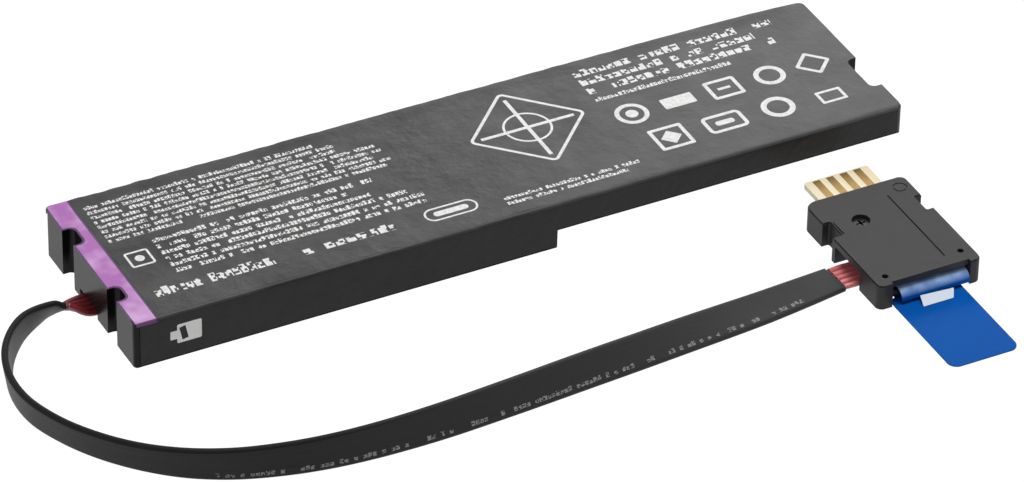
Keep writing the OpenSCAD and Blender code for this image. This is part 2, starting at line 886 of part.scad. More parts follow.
module connector_screw() {
    color([0.6, 0.6, 0.62])
        at_connector()
            translate([screw_at[0], screw_at[1], 0])
                difference() {
                    union() {
                        translate([0, 0, head_z])
                            cylinder(d = head_d, h = head_h);
                        translate([0, 0, conn_floor + 0.1])
                            cylinder(d = shank_d, h = head_z - conn_floor);
                    }
                    for (turn = [0, 90])
                        rotate(turn)
                            translate([-head_d * 0.3, -0.2, head_z + head_h - 0.5])
                                cube([head_d * 0.6, 0.4, 1]);
                }
}

// ---- Pull tab ----

// Middle line of the film seen from the side: the free end, round the bar and down in front
loop_r = bar_z - pull_t / 2;
roll_r = 1.85;
roll_v = bar_v - 0.6;
roll_z = bar_z + loop_r - roll_r;

function arc(centre, r, from, to, n) = [
    for (i = [0:n])
        let (turn = from + (to - from) * i / n)
            centre + r * [cos(turn), sin(turn)]
];

roll_line = concat(
    [[bar_v - 1.2, pull_t / 2]],
    arc([bar_v, bar_z], loop_r, -90, 90, 16),
    arc([roll_v, roll_z], roll_r, 90, 182, 16)
);

function beside(p, i, off) =
    let (d = unit(p[min(i + 1, len(p) - 1)] - p[max(i - 1, 0)]))
        p[i] + off * [-d[1], d[0]];

module film_profile(line) {
    n = len(line);
    polygon(concat(
        [for (i = [0:n - 1]) beside(line, i, pull_t / 2)],
        [for (i = [n - 1:-1:0]) beside(line, i, -pull_t / 2)]
    ));
}

module pull_tab() {
    flat_l = pull_out + conn_l / 2 + bar_v;
    color([0.02, 0.33, 0.7])
        at_connector()
            translate([bay_u - pull_skew / 2 - 0.1, 0, 0]) {
                translate([pull_skew + 0.3 - pull_w / 2, 0, 0])
                    rotate([90, 0, 90])
                        linear_extrude(pull_w)
                            film_profile(roll_line);
                translate([0, bar_v - flat_l / 2, 0])
                    linear_extrude(pull_t)
                        rounded_plate(pull_w, flat_l, pull_r);
            }
}

// A slanted piece of tape from the film up to the roll's front
module tab_tape() {
    color([0.92, 0.92, 0.96])
        at_connector()
            translate([0.2, roll_v - roll_r - pull_t / 2 - 0.1 - tape_l * cos(tape_tilt), pull_t + 0.03])
                rotate([tape_tilt, 0, 0])
                    linear_extrude(tape_t)
                        polygon([
                            [-tape_w / 2, 0],
                            [tape_w / 2, 0],
                            [tape_w / 2 + 1, tape_l - 0.4],
                            [-tape_w / 2 + 0.45, tape_l]
                        ]);
}

case_tray();
case_cover();
label_wrap();
end_strip();
cell_left();
cell_right();
cell_pads();
cell_tabs();
seal_tape();
insulating_sheet();
control_board();
board_chips();
power_inductor();
board_capacitors();
cell_fuse();
thermistor();
foam_spacer();
module_wires();
cable_sheath();
connector_wires();
connector_base();
connector_cover();
connector_board();
contact_fingers();
connector_screw();
pull_tab();
tab_tape();
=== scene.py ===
import math

import bmesh
import bpy
from mathutils import Matrix, Vector, noise


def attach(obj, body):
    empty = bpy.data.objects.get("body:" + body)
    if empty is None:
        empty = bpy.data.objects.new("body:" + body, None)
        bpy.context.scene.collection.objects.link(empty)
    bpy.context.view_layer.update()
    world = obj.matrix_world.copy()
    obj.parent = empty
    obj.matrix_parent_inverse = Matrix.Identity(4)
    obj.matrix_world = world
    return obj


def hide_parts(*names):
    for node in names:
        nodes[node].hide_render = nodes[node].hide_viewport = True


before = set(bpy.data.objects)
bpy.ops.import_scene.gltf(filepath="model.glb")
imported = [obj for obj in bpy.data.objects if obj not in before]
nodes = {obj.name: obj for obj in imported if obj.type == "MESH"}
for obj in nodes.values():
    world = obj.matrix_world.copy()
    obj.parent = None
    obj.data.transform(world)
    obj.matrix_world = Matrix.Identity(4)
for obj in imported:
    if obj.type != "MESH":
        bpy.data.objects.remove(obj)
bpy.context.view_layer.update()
scene = bpy.context.scene
mm = 0.001

# ---- Camera ----

camera = {
    "place": (-0.42805, -0.8294, 0.6657),
    "azimuth": -27.67,
    "elevation": 35.86,
    "roll": 1.09,
    "lens": 223.45,
    "sensor": 36,
    "near": 0.05,
    "far": 20,
}


def addCamera():
    turn, rise, roll = (math.radians(camera[k]) for k in ("azimuth", "elevation", "roll"))
    back = Vector(
        (math.sin(turn) * math.cos(rise), -math.cos(turn) * math.cos(rise), math.sin(rise))
    )
    level = Vector((math.cos(turn), math.sin(turn), 0))
    upright = back.cross(level)
    right = level * math.cos(roll) + upright * math.sin(roll)
    up = upright * math.cos(roll) - level * math.sin(roll)
    data = bpy.data.cameras.new("camera")
    data.lens, data.sensor_width = camera["lens"], camera["sensor"]
    data.clip_start, data.clip_end = camera["near"], camera["far"]
    view = bpy.data.objects.new("camera", data)
    scene.collection.objects.link(view)
    turned = Matrix((right, up, back)).transposed().to_4x4()
    view.matrix_world = Matrix.Translation(camera["place"]) @ turned
    scene.camera = view


addCamera()

# ---- Ways of making pieces ----


def deselectAll():
    for thing in bpy.context.selected_objects:
        thing.select_set(False)


def pick(piece):
    deselectAll()
    piece.select_set(True)
    bpy.context.view_layer.objects.active = piece


def applyModifiers(piece):
    pick(piece)
    for modifier in list(piece.modifiers):
        bpy.ops.object.modifier_apply(modifier=modifier.name)


def settle(piece):
    # Puts the place, turn and size into the mesh, so that the object sits at the origin
    pick(piece)
    bpy.ops.object.transform_apply(location=True, rotation=True, scale=True)


def smoothEdges(piece, angle):
    pick(piece)
    bpy.ops.object.shade_smooth_by_angle(angle=math.radians(angle))


def blended(before, start, end, after, t):
    # A point of the smooth curve from start to end that heads for the points on either side
    return [
        0.5 * (
            2 * b + (c - a) * t
            + (2 * a - 5 * b + 4 * c - d) * t * t
            + (3 * b - 3 * c + d - a) * t**3
        )
        for a, b, c, d in zip(before, start, end, after)
    ]


def smoothLine(points, steps):
    line, last = [], len(points) - 1
    for i in range(last):
        four = [points[max(i - 1, 0)], points[i], points[i + 1], points[min(i + 2, last)]]
        line += [blended(*four, s / steps) for s in range(steps)]
    return line + [list(points[-1])]


def heading(line, i):
    return (line[min(i + 1, len(line) - 1)] - line[max(i - 1, 0)]).normalized()


def acrossWay(ahead, lean):
    # The way across a flat cable: lean 0 stands on edge and -90 lies flat
    turn = math.radians(lean)
    across = Vector((math.sin(turn) * ahead.y, -math.sin(turn) * ahead.x, math.cos(turn)))
    return across.normalized()


def sweptTube(name, rings):
    # A skin over a run of rings. Its UV map holds metres along and the share of the way round
    bm = bmesh.new()
    uv = bm.loops.layers.uv.new("alongCable")
    loops = [[bm.verts.new(p) for p in ring] for ring in rings]
    count, run = len(rings[0]), 0
    for i in range(len(rings) - 1):
        middleNow = sum(rings[i], Vector()) / count
        middleNext = sum(rings[i + 1], Vector()) / count
        step = (middleNext - middleNow).length
        for j in range(count):
            k = (j + 1) % count
            face = bm.faces.new((loops[i][j], loops[i][k], loops[i + 1][k], loops[i + 1][j]))
            places = ((run, j), (run, j + 1), (run + step, j + 1), (run + step, j))
            for loop, (along, around) in zip(face.loops, places):
                loop[uv].uv = (along, around / count)
        run += step
    bm.faces.new(list(reversed(loops[0])))
    bm.faces.new(loops[-1])
    bmesh.ops.recalc_face_normals(bm, faces=bm.faces)
    mesh = bpy.data.meshes.new(name)
    bm.to_mesh(mesh)
    bm.free()
    piece = bpy.data.objects.new(name, mesh)
    scene.collection.objects.link(piece)
    smoothEdges(piece, 50)
    return piece


def finishPiece(piece, material):
    piece.data.materials.clear()
    piece.data.materials.append(material)
    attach(piece, "root")


# ---- Node helpers ----


def plug(tree, socket, value):
    if isinstance(value, bpy.types.NodeSocket):
        tree.links.new(value, socket)
    else:
        socket.default_value = value


def maths(tree, operation, *values):
    node = tree.nodes.new("ShaderNodeMath")
    node.operation = operation
    for socket, value in zip(node.inputs, values):
        plug(tree, socket, value)
    return node.outputs[0]


def vectorMaths(tree, operation, *values):
    node = tree.nodes.new("ShaderNodeVectorMath")
    node.operation = operation
    for socket, value in zip(node.inputs, values):
        plug(tree, socket, value)
    return node.outputs["Value" if operation == "LENGTH" else "Vector"]


def splitVector(tree, vector):
    node = tree.nodes.new("ShaderNodeSeparateXYZ")
    plug(tree, node.inputs[0], vector)
    return node.outputs


def joinVector(tree, x, y, z):
    node = tree.nodes.new("ShaderNodeCombineXYZ")
    for socket, value in zip(node.inputs, (x, y, z)):
        plug(tree, socket, value)
    return node.outputs[0]


def mixColour(tree, factor, first, second):
    node = tree.nodes.new("ShaderNodeMix")
    node.data_type = "RGBA"
    plug(tree, node.inputs["Factor"], factor)
    plug(tree, node.inputs[6], first)
    plug(tree, node.inputs[7], second)
    return node.outputs[2]


def remap(tree, value, fromLow, fromHigh, toLow, toHigh):
    node = tree.nodes.new("ShaderNodeMapRange")
    for socket, number in zip(node.inputs, (value, fromLow, fromHigh, toLow, toHigh)):
        plug(tree, socket, number)
    return node.outputs[0]


def objectPlace(tree):
    # Object coordinates in millimetres
    place = tree.nodes.new("ShaderNodeTexCoord").outputs["Object"]
    return vectorMaths(tree, "MULTIPLY", place, (1000, 1000, 1000))


def cloudy(tree, vector, scale, detail=3.0, roughness=0.5):
    node = tree.nodes.new("ShaderNodeTexNoise")
    plug(tree, node.inputs["Vector"], vector)
    node.inputs["Scale"].default_value = scale
    node.inputs["Detail"].default_value = detail
    node.inputs["Roughness"].default_value = roughness
    return node.outputs["Fac"]


def newGroup(name, inputs, outputs):
    group = bpy.data.node_groups.new(name, "ShaderNodeTree")
    for title, kind, value in inputs:
        socket = group.interface.new_socket(title, in_out="INPUT", socket_type="NodeSocket" + kind)
        if value is not None:
            socket.default_value = value
    for title, kind in outputs:
        group.interface.new_socket(title, in_out="OUTPUT", socket_type="NodeSocket" + kind)
    given = group.nodes.new("NodeGroupInput").outputs
    out = group.nodes.new("NodeGroupOutput").inputs
    return group, given, out


def useGroup(tree, group, **values):
    node = tree.nodes.new("ShaderNodeGroup")
    node.node_tree = group
    for title, value in values.items():
        plug(tree, node.inputs[title], value)
    return node.outputs


def newMaterial(name, **settings):
    material = bpy.data.materials.new(name)
    material.use_nodes = True
    shader = material.node_tree.nodes["Principled BSDF"]
    for title, value in settings.items():
        plug(material.node_tree, shader.inputs[title.replace("_", " ")], value)
    return material, material.node_tree, shader


def addBump(tree, shader, height, distance, strength=1.0):
    bump = tree.nodes.new("ShaderNodeBump")
    bump.inputs["Strength"].default_value = strength
    bump.inputs["Distance"].default_value = distance
    plug(tree, bump.inputs["Height"], height)
    plug(tree, shader.inputs["Normal"], bump.outputs[0])


# ---- Shared finishes ----


def makeGrainGroup():
    # Moulded grain: a mottled shade, a varied roughness and a height
    group, given, out = newGroup(
        "mouldedGrain",
        [("Size", "Float", 1.0), ("Roughness", "Float", 0.5), ("Spread", "Float", 0.1)],
        [("Shade", "Float"), ("Roughness", "Float"), ("Height", "Float")],
    )
    place = objectPlace(group)
    sized = group.nodes.new("ShaderNodeVectorMath")
    sized.operation = "SCALE"
    group.links.new(place, sized.inputs[0])
    group.links.new(given["Size"], sized.inputs["Scale"])
    fine = cloudy(group, sized.outputs["Vector"], 6.0, 2.0, 0.6)
    broad = cloudy(group, place, 0.09, 4.0, 0.55)
    plug(group, out["Shade"], remap(group, broad, 0.3, 0.7, 0.0, 1.0))
    broadShare, fineShare = 0.6, 0.4
    mixed = maths(
        group, "ADD",
        maths(group, "MULTIPLY", broad, broadShare), maths(group, "MULTIPLY", fine, fineShare),
    )
    drift = maths(group, "MULTIPLY", maths(group, "SUBTRACT", mixed, 0.5), given["Spread"])
    plug(group, out["Roughness"], maths(group, "ADD", given["Roughness"], drift))
    plug(group, out["Height"], fine)
    return group


grainGroup = makeGrainGroup()


def mouldedPlastic(name, dark, light, roughness, size=1.0, depth=0.02, **settings):
    material, tree, shader = newMaterial(name, **settings)
    grain = useGroup(tree, grainGroup, Size=size, Roughness=roughness, Spread=0.2)
    shade = mixColour(tree, grain["Shade"], (*dark, 1), (*light, 1))
    plug(tree, shader.inputs["Base Color"], shade)
    plug(tree, shader.inputs["Roughness"], grain["Roughness"])
    addBump(tree, shader, grain["Height"], depth * mm, 0.6)
    return material


# A line this wide fills its whole shape
filled = 99.0


def makeShapeGroup():
    # One printed shape: a rounded, turned box, filled or drawn as a line
    group, given, out = newGroup(
        "printedShape",
        [
            ("Place", "Vector", None),
            ("Centre", "Vector", (0, 0, 0)),
            ("Half", "Vector", (1, 1, 0)),
            ("Round", "Float", 0.1),
            ("Line", "Float", filled),
            ("Turn", "Float", 0.0),
            ("Under", "Float", 0.0),
        ],
        [("Mask", "Float")],
    )
    turned = group.nodes.new("ShaderNodeVectorRotate")
    turned.rotation_type = "Z_AXIS"
    fromCentre = vectorMaths(group, "SUBTRACT", given["Place"], given["Centre"])
    plug(group, turned.inputs["Vector"], fromCentre)
    plug(group, turned.inputs["Angle"], given["Turn"])
    side = splitVector(group, vectorMaths(group, "ABSOLUTE", turned.outputs[0]))
    half = splitVector(group, given["Half"])
    beyondX = maths(group, "ADD", maths(group, "SUBTRACT", side[0], half[0]), given["Round"])
    beyondY = maths(group, "ADD", maths(group, "SUBTRACT", side[1], half[1]), given["Round"])
    pastX = maths(group, "MAXIMUM", beyondX, 0.0)
    pastY = maths(group, "MAXIMUM", beyondY, 0.0)
    corner = vectorMaths(group, "LENGTH", joinVector(group, pastX, pastY, 0.0))
    inner = maths(group, "MINIMUM", maths(group, "MAXIMUM", beyondX, beyondY), 0.0)
    away = maths(group, "SUBTRACT", maths(group, "ADD", corner, inner), given["Round"])
    within = maths(group, "LESS_THAN", away, 0.0)
    deep = maths(group, "LESS_THAN", away, maths(group, "MULTIPLY", given["Line"], -1.0))
    mask = maths(group, "SUBTRACT", within, deep)
    plug(group, out["Mask"], maths(group, "MAXIMUM", mask, given["Under"]))
    return group


def makeRowsGroup():
    # Rows of short marks that stand for print without being any writing
    group, given, out = newGroup(
        "printedRows",
        [
            ("Place", "Vector", None),
            ("Corner", "Vector", (0, 0, 0)),
            ("Length", "Float", 40.0),
            ("Rows", "Float", 4.0),
            ("Pitch", "Float", 2.0),
            ("Height", "Float", 0.5),
            ("Cell", "Float", 1.0),
            ("Gaps", "Float", 0.2),
            ("Seed", "Float", 1.0),
            ("Under", "Float", 0.0),
        ],
        [("Mask", "Float")],
    )
    offset = splitVector(group, vectorMaths(group, "SUBTRACT", given["Place"], given["Corner"]))
    down = maths(group, "DIVIDE", maths(group, "MULTIPLY", offset[1], -1.0), given["Pitch"])
    row = maths(group, "FLOOR", down)
    level = maths(group, "FRACT", down)

    def chance(a, b, c):
        node = group.nodes.new("ShaderNodeTexWhiteNoise")
        plug(group, node.inputs["Vector"], joinVector(group, a, b, c))
        return node.outputs["Value"]

    def between(value, low, high):
        above = maths(group, "GREATER_THAN", value, low)
        return maths(group, "MULTIPLY", above, maths(group, "LESS_THAN", value, high))

    # Rows end at different places
    reach = remap(group, chance(row, given["Seed"], 3.0), 0.0, 1.0, 0.72, 1.0)
    inLength = between(offset[0], 0.0, maths(group, "MULTIPLY", given["Length"], reach))
    inRows = between(down, 0.0, given["Rows"])
    # Marks stand on one line in their row, differ in height and leave gaps
    along = maths(group, "DIVIDE", offset[0], given["Cell"])
    cell = maths(group, "FLOOR", along)
    inked = maths(group, "GREATER_THAN", chance(cell, row, given["Seed"]), given["Gaps"])
    share = remap(group, chance(row, cell, 7.0), 0.0, 1.0, 0.7, 1.1)
    footLine, markWidth = 0.85, 0.82
    headLine = maths(group, "SUBTRACT", footLine, maths(group, "MULTIPLY", given["Height"], share))
    band = between(level, headLine, footLine)
    spaced = maths(group, "LESS_THAN", maths(group, "FRACT", along), markWidth)
    # Each mark is broken into a few small blocks
    blocksAcross, blocksUp, blankShare = 3.0, 4.0, 0.27
    across = maths(group, "FLOOR", maths(group, "MULTIPLY", along, blocksAcross))
    raised = maths(group, "MULTIPLY", level, blocksUp)
    rise = maths(group, "FLOOR", maths(group, "DIVIDE", raised, given["Height"]))
    rowKey = maths(group, "MULTIPLY", row, 17.0)
    block = chance(across, maths(group, "ADD", rise, rowKey), given["Seed"])
    strokes = maths(group, "GREATER_THAN", block, blankShare)
    mask = inLength
    for part in (inRows, inked, band, spaced, strokes):
        mask = maths(group, "MULTIPLY", mask, part)
    plug(group, out["Mask"], maths(group, "MAXIMUM", mask, given["Under"]))
    return group


shapeGroup, rowsGroup = makeShapeGroup(), makeRowsGroup()
print("finishes ready")

# ---- Flat cable and its wires ----

cable = {
    "width": 6.6,
    "thickness": 1.3,
    "length": 0.1955,
    "steps": 8,
    "upright": (0.09, 0.13),
    # Painted light: where along the cable the part lying flat is painted greyer
    "paintedLightFlat": (0.08, 0.19),
    "edge": {"at": 0.16, "half": 0.1},
    "girth": 15.0,
    "marks": {
        "Corner": (70, 0.85, 0), "Length": 122, "Rows": 1, "Pitch": 0.85,
        "Height": 0.6, "Cell": 0.85, "Gaps": 0.42, "Seed": 12,
    },
    "route": [
        (-82.4, 0, -50), (-85, -0.5, -33), (-91.4, -3.8, -6), (-96.5, -9.9, 5),
        (-99.2, -17.4, 9), (-99.3, -25.3, 11), (-96.8, -32.9, 13), (-92.8, -39.8, 12),
        (-87.6, -45.9, 10), (-81.4, -50.9, 5), (-74.3, -54.6, 0), (-66.7, -57, -5),
        (-58.9, -58.5, -10), (-50.8, -59.2, -15), (-42.8, -59.3, -20), (-34.8, -59, -25),
        (-26.8, -58.4, -29), (-18.9, -57.7, -34), (-10.9, -56.9, -39), (-3, -56.1, -45),
        (5, -55.3, -51), (12.9, -54.5, -56), (20.9, -53.7, -62), (28.8, -52.8, -69),
        (36.7, -51.6, -77), (45.2, -50.2, -86),
    ],
}
wires = {
    "count": 5,
    "diameter": 1.1,
    "sides": 16,
    "steps": 8,
    "atCase": [
        (-67, 0.7, 1.8, -90, 1.3), (-69.5, 0.7, 1.7, -90, 1.3), (-73, 0.7, 0.95, -90, 1.3),
        (-77, 0.7, 0.8, -90, 1.3), (-79.6, 0.5, 1.3, -76, 1.25), (-81.75, 0.05, 2.2, -54, 1.15),
    ],
    "atConnector": [
        (45.6, -50.2, 0.9, -86, 1.2), (48.2, -50, 0.8, -90, 1.35), (50, -50, 0.8, -90, 1.35),
        (52.2, -50, 1.35, -90, 1.35), (55, -50, 1.42, -90, 1.35),
    ],
}


def makeCableMaterial():
    material, tree, shader = newMaterial("cableSleeve", Specular_IOR_Level=0.16)
    uv = tree.nodes.new("ShaderNodeUVMap")
    uv.uv_map = "alongCable"
    along, around = splitVector(tree, uv.outputs[0])[:2]
    grain = useGroup(tree, grainGroup, Size=0.6, Roughness=0.46, Spread=0.25)
    stretched = joinVector(
        tree, maths(tree, "MULTIPLY", along, 60.0), maths(tree, "MULTIPLY", around, 40.0), 0.0
    )
    streaks = cloudy(tree, stretched, 1.0)
    base = mixColour(tree, streaks, (0.012, 0.012, 0.013, 1), (0.022, 0.022, 0.024, 1))
    # Painted light: the part that lies flat, facing the lamps, is painted greyer, and the folded
    # edge on top of the upright part is blacker
    paintedLightShare = remap(tree, along, *cable["paintedLightFlat"], 0.0, 1.0)
    base = mixColour(tree, paintedLightShare, base, (0.034, 0.034, 0.036, 1))
    toEdge = maths(tree, "ABSOLUTE", maths(tree, "SUBTRACT", around, cable["edge"]["at"]))
    upright = remap(tree, along, *cable["upright"], 1.0, 0.0)
    onEdge = maths(tree, "LESS_THAN", toEdge, cable["edge"]["half"])
    edge = maths(tree, "MULTIPLY", onEdge, upright)
    # Faint rubbed marks run along the edge of the flat part
    fromMiddle = maths(tree, "SUBTRACT", 0.5, around)
    markPlace = joinVector(
        tree, maths(tree, "MULTIPLY", along, 1000.0),
        maths(tree, "MULTIPLY", fromMiddle, cable["girth"]), 0.0,
    )
    marks = useGroup(tree, rowsGroup, Place=markPlace, **cable["marks"])
    faint = maths(tree, "MULTIPLY", marks[0], 0.55)
    base = mixColour(tree, faint, base, (0.42, 0.42, 0.43, 1))
    base = mixColour(tree, edge, base, (0.004, 0.004, 0.005, 1))
    plug(tree, shader.inputs["Base Color"], base)
    rough = maths(tree, "ADD", grain["Roughness"], maths(tree, "MULTIPLY", edge, 0.15))
    plug(tree, shader.inputs["Roughness"], rough)
    height = maths(tree, "ADD", grain["Height"], maths(tree, "MULTIPLY", streaks, 2.0))
    addBump(tree, shader, height, 0.03 * mm, 0.5)
    return material


def makeWireMaterial(name, dark, light):
    material, tree, shader = newMaterial(name, Coat_Weight=0.2, Coat_Roughness=0.25)
    place = objectPlace(tree)
    mottle = cloudy(tree, place, 0.8, 3.0)
    plug(tree, shader.inputs["Base Color"], mixColour(tree, mottle, (*dark, 1), (*light, 1)))
    plug(tree, shader.inputs["Roughness"], remap(tree, mottle, 0.2, 0.8, 0.25, 0.42))
    addBump(tree, shader, mottle, 0.02 * mm)
    return material


# Lit and shaded copies of one red jacket: painted shade on the wires at the case, painted light on
# the wires at the connector
paintedShadeJacket = makeWireMaterial("paintedShadeJacket", (0.17, 0.016, 0.022), (0.36, 0.04, 0.05))
paintedLightJacket = makeWireMaterial("paintedLightJacket", (0.60, 0.12, 0.125), (0.95, 0.33, 0.33))


def flatSection(width, thickness):
    # Round one edge, over a flat side, round the other edge and back
    straight, half = (width - thickness) / 2, thickness / 2
    arcStep, faces = 15, 10
    section = []
    for side in (0, 1):
        way = 1 - 2 * side
        for k in range(180 // arcStep + 1):
            turn = math.radians(side * 180 - 90 + arcStep * k)
            section.append((way * straight + half * math.cos(turn), half * math.sin(turn)))
        for k in range(1, faces):
            section.append((way * straight * (1 - 2 * k / faces), way * half))
    return section


def makeCable():
    width, thickness = cable["width"], cable["thickness"]
    line = smoothLine(cable["route"], cable["steps"])
    # Its middle is as high as its lower edge on the floor asks for
    heights = [
        thickness / 2 + (width - thickness) / 2 * abs(math.cos(math.radians(p[2]))) for p in line
    ]
    centres = [Vector((p[0], p[1], z)) * mm for p, z in zip(line, heights)]
    section = flatSection(width, thickness)
    rings = []
    for i, (centre, p) in enumerate(zip(centres, line)):
        ahead = heading(centres, i)
        wide = acrossWay(ahead, p[2])
        thin = ahead.cross(wide)
        rings.append([centre + wide * a * mm + thin * b * mm for a, b in section])
    piece = sweptTube("cableSleeve", rings)
    finishPiece(piece, makeCableMaterial())
    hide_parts("cable_sheath")
    everyFourth = centres[::4]
    return piece, everyFourth


def makeWires(name, stations, node, material):
    # A station is x, y, height, lean and the wires' distance from each other
    line = smoothLine(stations, wires["steps"])
    middles = [Vector(p[:3]) * mm for p in line]
    sides, radius = wires["sides"], wires["diameter"] / 2 * mm
    made = []
    for k in range(wires["count"]):
        offset = (k - (wires["count"] - 1) / 2) * mm
        centres = [
            middle + acrossWay(heading(middles, i), p[3]) * offset * p[4]
            for i, (middle, p) in enumerate(zip(middles, line))
        ]
        rings = []
        for i, centre in enumerate(centres):
            ahead = heading(centres, i)
            wide = acrossWay(ahead, line[i][3])
            thin = ahead.cross(wide)
            rings.append([
                centre + (wide * math.cos(t) + thin * math.sin(t)) * radius
                for t in (math.tau * s / sides for s in range(sides))
            ])
        made.append(sweptTube(name, rings))
    deselectAll()
    for piece in made:
        piece.select_set(True)
    bpy.context.view_layer.objects.active = made[0]
    bpy.ops.object.join()
    piece = made[0]
    finishPiece(piece, material)
    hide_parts(node)
    return piece


cableSleeve, cablePath = makeCable()
wiresAtCase = makeWires("wiresAtCase", wires["atCase"], "module_wires", paintedShadeJacket)
wiresAtConnector = makeWires(
    "wiresAtConnector", wires["atConnector"], "connector_wires", paintedLightJacket
)
print("cable and wires made")

# ---- Label film ----

label = {
    "start": -71.9,
    "corner": -75.5,
    "end": 76.55,
    "step": 5.95,
    "top": 9.55,
    "half": 19.15,
    "fold": 0.65,
    "endRound": 1.0,
    "lower": 0.4,
    "lowerThin": 4.15,
    "thickness": 0.15,
    "bulge": 0.8,
    "rows": [
        {
            "Corner": (-70.5, 17.0, 0), "Length": 60, "Rows": 8, "Pitch": 1.56,
            "Height": 0.62, "Cell": 0.68, "Gaps": 0.12, "Seed": 2,
        },
        {
            "Corner": (-63.5, 3.2, 0), "Length": 50, "Rows": 6, "Pitch": 1.95,
            "Height": 0.6, "Cell": 0.8, "Gaps": 0.13, "Seed": 1,
        },
        {
            "Corner": (-69.5, -10.6, 0), "Length": 26, "Rows": 1, "Pitch": 3.4,
            "Height": 0.72, "Cell": 1.5, "Gaps": 0.1, "Seed": 3,
        },
        {
            "Corner": (-41, -10.7, 0), "Length": 20, "Rows": 1, "Pitch": 3.2,
            "Height": 0.66, "Cell": 2.1, "Gaps": 0.08, "Seed": 8,
        },
        {
            "Corner": (27, 17.2, 0), "Length": 46, "Rows": 3, "Pitch": 2.9,
            "Height": 0.66, "Cell": 1.7, "Gaps": 0.12, "Seed": 4,
        },
        {
            "Corner": (27, 8.0, 0), "Length": 36, "Rows": 1, "Pitch": 2.0,
            "Height": 0.6, "Cell": 0.8, "Gaps": 0.12, "Seed": 5,
        },
        {
            "Corner": (-2, -12.6, 0), "Length": 28, "Rows": 2, "Pitch": 1.6,
            "Height": 0.6, "Cell": 0.7, "Gaps": 0.12, "Seed": 6,
        },
    ],
    "shapes": [
        {"centre": (-12, -12.4), "half": (5.2, 1.9), "round": 1.9, "line": 0.4},
        {"centre": (-12, -12.4), "half": (3.4, 0.7), "round": 0.7},
        {"centre": (-67.6, -1.6), "half": (2.3, 2.3), "round": 0.6, "line": 0.45},
        {"centre": (-67.6, -1.6), "half": (0.9, 0.9), "round": 0.9},
        {"centre": (12, 4.6), "half": (8.4, 8.4), "round": 1.2, "line": 0.6, "turn": 45},
        {"centre": (12, 4.6), "half": (4.6, 4.6), "round": 4.6, "line": 0.45},
        {"centre": (12, 4.6), "half": (9.4, 0.38), "round": 0.1},
        {"centre": (12, 4.6), "half": (0.38, 9.4), "round": 0.1},
        {"centre": (31, 0.2), "half": (3.2, 3.2), "round": 3.2, "line": 0.9},
        {"centre": (31, 0.2), "half": (1.2, 1.2), "round": 1.2},
        {"centre": (40.5, 0.2), "half": (3.2, 1.6), "round": 0.3},
        {"centre": (50, 0.2), "half": (3.2, 2.9), "round": 0.6, "line": 0.75},
        {"centre": (50, 0.2), "half": (1.3, 0.35), "round": 0.1},
        {"centre": (59.5, 0.2), "half": (3.0, 3.0), "round": 3.0, "line": 1.0},
        {"centre": (68.5, 0.2), "half": (2.6, 2.6), "round": 0.5, "line": 0.7, "turn": 45},
        {"centre": (34, -9.4), "half": (3.4, 3.4), "round": 0.4, "line": 0.75},
        {"centre": (34, -9.4), "half": (1.5, 1.5), "round": 0.2, "turn": 45},
        {"centre": (45, -9.4), "half": (4.0, 2.7), "round": 1.2, "line": 0.75},
        {"centre": (45, -9.4), "half": (1.9, 0.7), "round": 0.6},
        {"centre": (56, -9.4), "half": (3.2, 3.2), "round": 3.2, "line": 1.1},
        {"centre": (66.5, -10.4), "half": (2.6, 1.9), "round": 0.3, "line": 0.6},
    ],
    "sideShapes": [
        {"centre": (-66.15, 5.0), "half": (2.35, 2.0), "round": 0.3},
        {"centre": (-69.0, 4.9), "half": (0.8, 0.9), "round": 0.15},
    ],
    "sideWindow": {"centre": (-67.2, 5.0), "half": (0.6, 1.4), "round": 0.1, "turn": -12},
    "sideFrom": -19.0,
    "tones": {
        "dark": (0.010, 0.010, 0.0104, 1),
        # Painted sheen: the lighter tone laid over the film where the lamps' sheen falls
        "sheen": (0.044, 0.044, 0.045, 1),
        # Painted light: the lighter tone of the film towards the thin end
        "thinEnd": (0.085, 0.085, 0.086, 1),
        "side": (0.012, 0.012, 0.0122, 1),
        "ink": (0.9, 0.9, 0.89, 1),
    },
}


def addShapes(tree, place, shapes, mask):
    for shape in shapes:
        mask = useGroup(
            tree, shapeGroup, Place=place, Centre=(*shape["centre"], 0), Half=(*shape["half"], 0),
            Round=shape["round"], Line=shape.get("line", filled),
            Turn=math.radians(shape.get("turn", 0)), Under=mask,
        )[0]
    return mask


